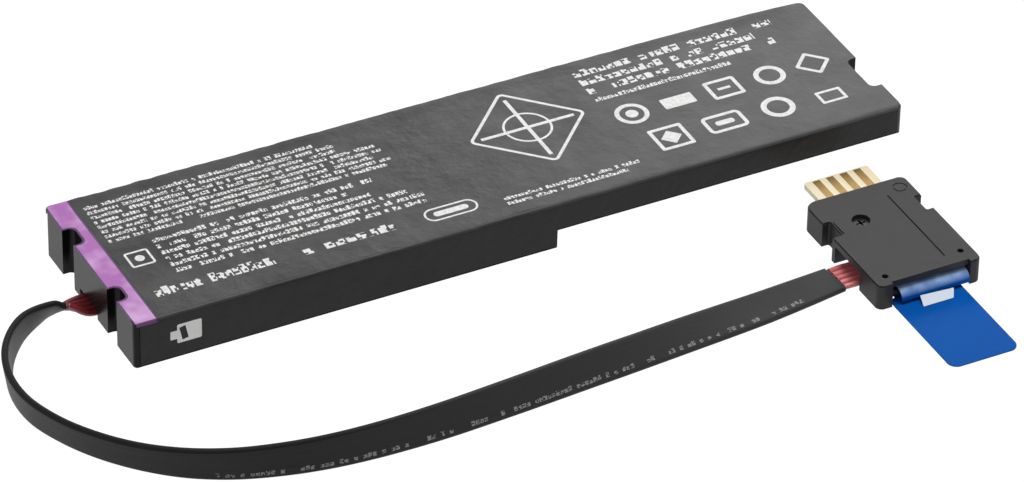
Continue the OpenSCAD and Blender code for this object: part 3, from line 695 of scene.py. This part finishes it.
def makeLabelMaterial():
    material, tree, shader = newMaterial("printedFilm", Specular_IOR_Level=0.22)
    place = objectPlace(tree)
    x, y, z = splitVector(tree, place)
    tones = label["tones"]
    mask = 0.0
    for block in label["rows"]:
        mask = useGroup(tree, rowsGroup, Place=place, Under=mask, **block)[0]
    mask = addShapes(tree, place, label["shapes"], mask)
    # Marks on the front side are laid out by x and height
    sidePlace = joinVector(tree, x, z, 0.0)
    sideMask = addShapes(tree, sidePlace, label["sideShapes"], 0.0)
    window = addShapes(tree, sidePlace, [label["sideWindow"]], 0.0)
    inFront = maths(tree, "LESS_THAN", y, label["sideFrom"])
    sideMask = maths(tree, "MULTIPLY", maths(tree, "SUBTRACT", sideMask, window), inFront)
    mask = maths(tree, "MAXIMUM", mask, sideMask)
    # The print on top is worn a little
    worn = remap(tree, cloudy(tree, place, 1.6, 4.0, 0.7), 0.3, 0.6, 0.72, 1.0)
    ink = maths(tree, "MAXIMUM", maths(tree, "MULTIPLY", mask, worn), sideMask)
    mottle = cloudy(tree, place, 0.07, 5.0, 0.6)
    # Painted sheen: broad patches of the film are painted lighter, standing in for the lamps'
    # sheen
    sheen = remap(tree, mottle, 0.35, 0.68, 0.0, 1.0)
    film = mixColour(tree, sheen, tones["dark"], tones["sheen"])
    # Painted light: the thin end is painted lighter, as it catches more light than the thick one
    film = mixColour(tree, remap(tree, x, -5.0, 75.0, 0.0, 0.55), film, tones["thinEnd"])
    # The front side keeps one plain tone, without the painted sheen and painted light of the top
    onSide = maths(tree, "LESS_THAN", y, 0.02 - label["half"])
    film = mixColour(tree, onSide, film, tones["side"])
    plug(tree, shader.inputs["Base Color"], mixColour(tree, ink, film, tones["ink"]))
    grain = useGroup(tree, grainGroup, Size=0.8, Roughness=0.36, Spread=0.3)
    rough = maths(tree, "ADD", grain["Roughness"], maths(tree, "MULTIPLY", mask, 0.1))
    plug(tree, shader.inputs["Roughness"], rough)
    height = maths(tree, "ADD", grain["Height"], maths(tree, "MULTIPLY", mottle, 26.0))
    addBump(tree, shader, height, 0.03 * mm, 0.6)
    return material


strip = {
    "start": -76.55,
    "end": -71.95,
    "drop": 0.8,
    "lines": {"left": -76.25, "right": -72.35, "fold": -18.85, "round": 0.4},
}
notches = {
    "depth": 2.2,
    "corner": 1.2,
    "left": [{"y": 9.4, "width": 5.0}, {"y": -9.5, "width": 4.0}],
    "right": {"y": -6.5, "width": 9.6},
}


def makeStripMaterial():
    material, tree, shader = newMaterial("violetFilm", Specular_IOR_Level=0.35)
    place = objectPlace(tree)
    x, y = splitVector(tree, place)[:2]
    mottle = cloudy(tree, place, 0.25, 3.0)
    # Painted sheen: broad patches of the violet are painted paler, standing in for the lamps'
    # sheen
    sheen = remap(tree, cloudy(tree, place, 0.16, 2.0), 0.4, 0.65, 0.0, 1.0)
    violet = mixColour(tree, mottle, (0.36, 0.10, 0.40, 1), (0.46, 0.15, 0.49, 1))
    violet = mixColour(tree, sheen, violet, (0.66, 0.38, 0.70, 1))
    # A thin dark line runs along each border and round the notches, and the turned-down front fold
    # is painted dark as painted shade
    lines = strip["lines"]
    right = maths(tree, "GREATER_THAN", x, lines["right"])
    left = maths(tree, "LESS_THAN", x, lines["left"])
    fold = maths(tree, "MULTIPLY", maths(tree, "LESS_THAN", y, lines["fold"]), 0.85)
    dark = maths(tree, "MAXIMUM", maths(tree, "MAXIMUM", left, right), fold)
    borders = [
        {
            "centre": (strip["start"], n["y"]),
            "half": (notches["depth"] + lines["round"], n["width"] / 2 + lines["round"]),
            "round": 1.5,
        }
        for n in notches["left"]
    ]
    dark = addShapes(tree, place, borders, dark)
    violet = mixColour(tree, dark, violet, (0.06, 0.015, 0.08, 1))
    plug(tree, shader.inputs["Base Color"], violet)
    plug(tree, shader.inputs["Roughness"], remap(tree, mottle, 0.3, 0.7, 0.32, 0.45))
    addBump(tree, shader, mottle, 0.08 * mm, 0.4)
    return material


def spread(low, high, count):
    return [low + (high - low) * i / (count - 1) for i in range(count)]


def filmProfile():
    # Stations round the film: its kind, then the side and the share down a flap, the side and
    # the turn round a fold, or y on the top
    flat = label["half"] - label["fold"]
    stations = [("flap", 1, share) for share in spread(1, 0, 8)]
    stations += [("fold", 1, turn) for turn in spread(0, 90, 9)[1:-1]]
    stations += [("top", y) for y in spread(flat, -flat, 76)]
    stations += [("fold", -1, turn) for turn in spread(90, 0, 9)[1:-1]]
    stations += [("flap", -1, share) for share in spread(0, 1, 8)]
    return stations


def standOff(x, y, z):
    # The film stands off the back edge in a run of small waves, most near the wires. Gives how
    # far it does so at x, and the share of that which a point at y and z gets
    slow = noise.noise(Vector((x * 0.12, 3.7, 0))) * 0.25
    quick = noise.noise(Vector((x * 0.42, 9.1, 0))) * 0.3
    nearWires = 0.4 + 0.6 / (1 + math.exp(x / 20))
    amount = label["bulge"] * (1 + (slow + quick) * nearWires)
    amount *= 1 - math.exp((x - label["end"]) / 12)
    reachY, reachZ = 2.2, 2.6
    fromY, fromZ = (y - label["half"]) / reachY, (z - label["top"]) / reachZ
    return amount, math.exp(-(fromY**2)) * math.exp(-(fromZ**2))


def filmPoint(station, x, lower):
    half, fold, top, endRound = (label[k] for k in ("half", "fold", "top", "endRound"))
    # The sides draw in where the case's corners are rounded
    beyond = max(0.0, abs(x) - (label["end"] - endRound))
    side = half - (endRound - math.sqrt(max(0.0, endRound**2 - beyond**2)))
    if station[0] == "top":
        y = station[1] * (side - fold) / (half - fold)
        z = top
    elif station[0] == "fold":
        turn = math.radians(station[2])
        y = station[1] * (side - fold + fold * math.cos(turn))
        z = top - fold + fold * math.sin(turn)
    else:
        y = station[1] * side
        z = top - fold - (top - fold - lower) * station[2]
    amount, near = standOff(x, y, z)
    y += amount * near
    if station[0] != "flap":
        z += min(0.2, amount * 0.4) * near
    # Shallow bubbles under the top
    if station[0] == "top":
        z += 0.05 * max(0.0, noise.noise(Vector((x * 0.09, y * 0.12, 1.3))))
    return Vector((x, y, z)) * mm


def filmPatch(name, columns, stations, lowerAt):
    deselectAll()
    wide, deep = len(columns) - 1, len(stations) - 1
    bpy.ops.mesh.primitive_grid_add(x_subdivisions=wide, y_subdivisions=deep, size=2)
    film = bpy.context.active_object
    film.name = name
    for vertex in film.data.vertices:
        i = round((vertex.co.x + 1) / 2 * wide)
        j = round((1 - vertex.co.y) / 2 * deep)
        vertex.co = filmPoint(stations[j], columns[i], lowerAt(columns[i]))
    solid = film.modifiers.new("thickness", "SOLIDIFY")
    solid.thickness, solid.offset = label["thickness"] * mm, -1
    applyModifiers(film)
    return film


def cutNotch(film, side, notch):
    # A box from outside the case's end, with its two inner upright edges rounded
    deselectAll()
    length, height = 8, 5
    middle = (side * (label["end"] - notches["depth"] + length / 2), notch["y"], label["top"])
    bpy.ops.mesh.primitive_cube_add(size=1, location=[place * mm for place in middle])
    cutter = bpy.context.active_object
    cutter.scale = (length * mm, notch["width"] * mm, height * mm)
    settle(cutter)
    bpy.ops.object.mode_set(mode="EDIT")
    bpy.ops.mesh.select_all(action="DESELECT")
    bpy.ops.object.mode_set(mode="OBJECT")
    inner = min(abs(v.co.x) for v in cutter.data.vertices)
    for edge in cutter.data.edges:
        first, second = (cutter.data.vertices[k].co for k in edge.vertices)
        edge.select = abs(first.z - second.z) > 1 * mm and abs(first.x) < inner + 0.1 * mm
    bpy.ops.object.mode_set(mode="EDIT")
    bpy.ops.mesh.bevel(offset=notches["corner"] * mm, segments=8)
    bpy.ops.object.mode_set(mode="OBJECT")
    cut = film.modifiers.new("notch", "BOOLEAN")
    cut.object, cut.operation = cutter, "DIFFERENCE"
    applyModifiers(film)
    bpy.data.objects.remove(cutter)


def roundedEnd(end, side):
    # Columns that lie close together where a corner of the case is rounded
    turns = [math.radians(a) for a in range(0, 91, 15)]
    return [end + side * label["endRound"] * (math.sin(turn) - 1) for turn in turns]


def makeLabel():
    columns = [label["start"] + i for i in range(int(label["step"] - label["start"]))]
    # Two columns close together make the step in the flaps' lower edge a sharp one
    columns += [label["step"] - 0.02, label["step"] + 0.02]
    columns += spread(label["step"] + 1, label["end"] - label["endRound"], 70)[:-1]
    columns += roundedEnd(label["end"], 1)
    film = filmPatch(
        "labelFilm", columns, filmProfile(),
        lambda x: label["lower"] if x < label["step"] else label["lowerThin"],
    )
    cutNotch(film, 1, notches["right"])
    # The side flaps run on under the coloured strip, as far as the case's corners
    flapHeight = label["top"] - label["fold"] - label["lower"]
    covered = (strip["drop"] + 0.1 - label["fold"]) / flapHeight
    flapColumns = spread(label["corner"], label["start"] + 0.02, 8)
    ends = []
    for side, shares in ((1, spread(1, covered, 8)), (-1, spread(covered, 1, 8))):
        stations = [("flap", side, share) for share in shares]
        ends.append(filmPatch("flap", flapColumns, stations, lambda x: label["lower"]))
    pick(film)
    for flap in ends:
        flap.select_set(True)
    bpy.ops.object.join()
    smoothEdges(film, 40)
    finishPiece(film, makeLabelMaterial())
    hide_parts("label_wrap")


def makeStrip():
    columns = list(reversed(roundedEnd(strip["start"], -1)))
    columns += spread(strip["start"] + 1.4, strip["end"], 8)
    film = filmPatch("stripFilm", columns, filmProfile(), lambda x: label["top"] - strip["drop"])
    for notch in notches["left"]:
        cutNotch(film, -1, notch)
    smoothEdges(film, 40)
    finishPiece(film, makeStripMaterial())
    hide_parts("end_strip")


makeLabel()
makeStrip()
print("label film and strip made")

# ---- Finishes of the other parts ----


def dress(nodeName, material):
    for slot in nodes[nodeName].material_slots:
        slot.material = material


def makeBlueMaterial():
    material, tree, shader = newMaterial("blueFilm", Specular_IOR_Level=0.015)
    place = objectPlace(tree)
    mottle = cloudy(tree, place, 0.12, 3.0)
    blue = mixColour(tree, mottle, (0.002, 0.085, 0.37, 1), (0.004, 0.115, 0.50, 1))
    # Painted highlight: the top of the roll is painted paler where the lamp's highlight falls,
    # broken into patches
    height = splitVector(tree, place)[2]
    highlightPatches = remap(tree, cloudy(tree, place, 0.35, 2.0), 0.35, 0.65, 0.55, 1.0)
    paintedHighlight = maths(tree, "MULTIPLY", remap(tree, height, 1.5, 2.6, 0.0, 1.0), highlightPatches)
    plug(tree, shader.inputs["Base Color"], mixColour(tree, paintedHighlight, blue, (0.42, 0.62, 0.95, 1)))
    plug(tree, shader.inputs["Roughness"], remap(tree, mottle, 0.3, 0.7, 0.22, 0.34))
    addBump(tree, shader, mottle, 0.1 * mm, 0.3)
    return material


dull = {"Specular_IOR_Level": 0.25}
glossy = {"Specular_IOR_Level": 0.13}
casePlastic = mouldedPlastic(
    "casePlastic", (0.004, 0.004, 0.0042), (0.008, 0.008, 0.0082), 0.26, **glossy
)
connectorPlastic = mouldedPlastic(
    "connectorPlastic", (0.018, 0.018, 0.0195), (0.028, 0.028, 0.03), 0.5,
    size=1.4, depth=0.03, **dull,
)
paleBoard = mouldedPlastic("paleBoard", (0.92, 0.78, 0.48), (1.0, 0.93, 0.70), 0.4, **dull)
goldPlate = mouldedPlastic(
    "goldPlate", (0.23, 0.145, 0.05), (0.31, 0.205, 0.08), 0.42, Metallic=1.0
)
screwSteel = mouldedPlastic(
    "screwSteel", (0.006, 0.006, 0.006), (0.012, 0.012, 0.012), 0.4, Metallic=0.3
)
whiteTape = mouldedPlastic("whiteTape", (0.70, 0.78, 0.88), (0.80, 0.88, 0.97), 0.45, **dull)
innerFinishes = {
    "pouchFoil": {
        "on": ["cell_left", "cell_right"],
        "dark": (0.55, 0.56, 0.58), "light": (0.75, 0.76, 0.78),
        "rough": 0.32, "metal": 1.0, "depth": 0.1,
    },
    "foam": {
        "on": ["cell_pads", "foam_spacer"],
        "dark": (0.05, 0.05, 0.055), "light": (0.09, 0.09, 0.1),
        "rough": 0.9, "metal": 0.0, "depth": 0.15,
    },
    "nickel": {
        "on": ["cell_tabs"],
        "dark": (0.5, 0.49, 0.45), "light": (0.66, 0.65, 0.6),
        "rough": 0.35, "metal": 1.0, "depth": 0.02,
    },
    "amberTape": {
        "on": ["seal_tape"],
        "dark": (0.5, 0.22, 0.02), "light": (0.66, 0.34, 0.05),
        "rough": 0.3, "metal": 0.0, "depth": 0.02,
    },
    "insulator": {
        "on": ["insulating_sheet"],
        "dark": (0.62, 0.62, 0.54), "light": (0.74, 0.74, 0.66),
        "rough": 0.5, "metal": 0.0, "depth": 0.02,
    },
    "boardGreen": {
        "on": ["control_board"],
        "dark": (0.012, 0.09, 0.035), "light": (0.025, 0.15, 0.06),
        "rough": 0.35, "metal": 0.0, "depth": 0.03,
    },
    "chipEpoxy": {
        "on": ["board_chips", "power_inductor", "thermistor"],
        "dark": (0.02, 0.02, 0.02), "light": (0.04, 0.04, 0.042),
        "rough": 0.6, "metal": 0.0, "depth": 0.03,
    },
    "ceramic": {
        "on": ["board_capacitors", "cell_fuse"],
        "dark": (0.45, 0.3, 0.17), "light": (0.6, 0.45, 0.3),
        "rough": 0.5, "metal": 0.0, "depth": 0.02,
    },
}

for name, look in innerFinishes.items():
    inner = mouldedPlastic(
        name, look["dark"], look["light"], look["rough"],
        depth=look["depth"], Metallic=look["metal"],
    )
    for nodeName in look["on"]:
        dress(nodeName, inner)
dress("case_tray", casePlastic)
dress("case_cover", casePlastic)
for nodeName in ("connector_base", "connector_cover"):
    dress(nodeName, connectorPlastic)
dress("connector_board", paleBoard)
dress("contact_fingers", goldPlate)
dress("connector_screw", screwSteel)
dress("pull_tab", makeBlueMaterial())
dress("tab_tape", whiteTape)

# ---- Light, floor and background ----

lamps = [
    {"name": "overheadPanel", "place": (0.3, 0.05, 1.15), "size": 0.55, "power": 8},
    {"name": "backPanel", "place": (0.66, 1.02, 0.75), "size": 0.45, "power": 2.8},
    {"name": "leftPanel", "place": (-1.1, -0.1, 0.5), "size": 0.6, "power": 0.8},
]
surround = {"seen": 1.0, "lit": 0.32}
floorLook = {
    "size": 8,
    "height": -0.00005,
    "matte": (0.92, 0.92, 0.92, 1),
    "glow": 1.08,
    "glowShare": 0.94,
}


def addLamps():
    for lamp in lamps:
        data = bpy.data.lights.new(lamp["name"], "AREA")
        data.shape, data.size, data.energy = "SQUARE", lamp["size"], lamp["power"]
        light = bpy.data.objects.new(lamp["name"], data)
        scene.collection.objects.link(light)
        light.location = lamp["place"]
        light.rotation_euler = (-Vector(lamp["place"])).to_track_quat("-Z", "Y").to_euler()


def seenDirectly(tree):
    rays = tree.nodes.new("ShaderNodeLightPath").outputs
    bounced = maths(tree, "ADD", rays["Is Glossy Ray"], rays["Is Transmission Ray"])
    return maths(tree, "MINIMUM", maths(tree, "ADD", rays["Is Camera Ray"], bounced), 1.0)


def addWorld():
    world = bpy.data.worlds.new("studio")
    scene.world = world
    world.use_nodes = True
    tree = world.node_tree
    tree.nodes.clear()
    out = tree.nodes.new("ShaderNodeOutputWorld")
    mix = tree.nodes.new("ShaderNodeMixShader")
    # The eye and reflections see plain white, and the light it gives is weaker
    plain, lit = (tree.nodes.new("ShaderNodeBackground") for _ in range(2))
    plain.inputs["Strength"].default_value = surround["seen"]
    lit.inputs["Strength"].default_value = surround["lit"]
    for node in (plain, lit):
        node.inputs["Color"].default_value = (1, 1, 1, 1)
    plug(tree, mix.inputs[0], seenDirectly(tree))
    tree.links.new(lit.outputs[0], mix.inputs[1])
    tree.links.new(plain.outputs[0], mix.inputs[2])
    tree.links.new(mix.outputs[0], out.inputs[0])


def addFloor():
    deselectAll()
    place = (0, 0, floorLook["height"])
    bpy.ops.mesh.primitive_plane_add(size=floorLook["size"], location=place)
    floor = bpy.context.active_object
    floor.name = "floor"
    material = bpy.data.materials.new("paleFloor")
    material.use_nodes = True
    tree = material.node_tree
    tree.nodes.clear()
    out = tree.nodes.new("ShaderNodeOutputMaterial")
    mix = tree.nodes.new("ShaderNodeMixShader")
    matte = tree.nodes.new("ShaderNodeBsdfDiffuse")
    glow = tree.nodes.new("ShaderNodeEmission")
    matte.inputs["Color"].default_value = floorLook["matte"]
    glow.inputs["Color"].default_value = (1, 1, 1, 1)
    glow.inputs["Strength"].default_value = floorLook["glow"]
    share = maths(tree, "MULTIPLY", seenDirectly(tree), floorLook["glowShare"])
    plug(tree, mix.inputs[0], share)
    tree.links.new(matte.outputs[0], mix.inputs[1])
    tree.links.new(glow.outputs[0], mix.inputs[2])
    tree.links.new(mix.outputs[0], out.inputs[0])
    floor.data.materials.append(material)


addLamps()
addWorld()
addFloor()
scene.view_settings.view_transform = "Standard"
print("stage set")
